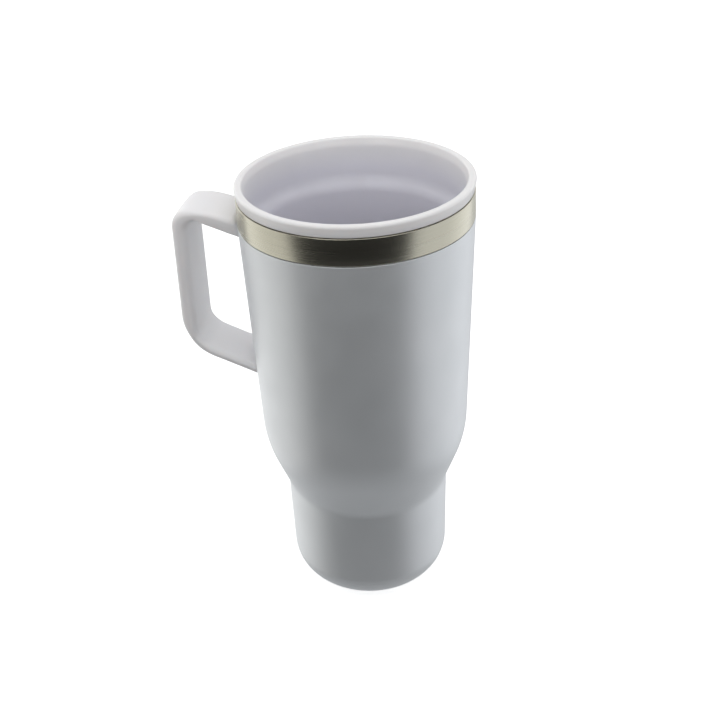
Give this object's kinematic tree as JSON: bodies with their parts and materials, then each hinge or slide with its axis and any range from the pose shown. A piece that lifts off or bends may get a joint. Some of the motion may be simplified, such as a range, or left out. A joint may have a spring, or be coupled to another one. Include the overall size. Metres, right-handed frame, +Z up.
{
  "type": "travel mug with handle",
  "caption": "Open double-wall travel mug: tapered coated body with a cup-holder base, bare metal ring, plastic liner and side handle.",
  "frame": {"origin": "centre of the flat underside of the base pad, on the mug's axis", "axes": "+Z up along the mug's axis towards the mouth, -X towards the handle, +Y across the handle"},
  "size_m": [0.1142, 0.0882, 0.18],
  "materials": {
    "coated_steel": "satin white coating",
    "brushed_steel": "brushed round the ring",
    "liner_plastic": "moulded, soft gloss",
    "handle_plastic": "moulded, satin",
    "silicone": "matt",
    "pad_rubber": "matt",
    "plain_steel": "plain pressed steel"
  },
  "bodies": {
    "root": {"outer_shell": "coated_steel", "steel_trim_ring": "brushed_steel", "inner_liner": "liner_plastic", "liner_seal": "silicone", "base_plate": "plain_steel", "base_pad": "pad_rubber", "handle": "handle_plastic", "handle_screw_upper": "plain_steel", "handle_screw_lower": "plain_steel", "handle_washer_upper": "plain_steel", "handle_washer_lower": "plain_steel"}
  },
  "joints": []
}
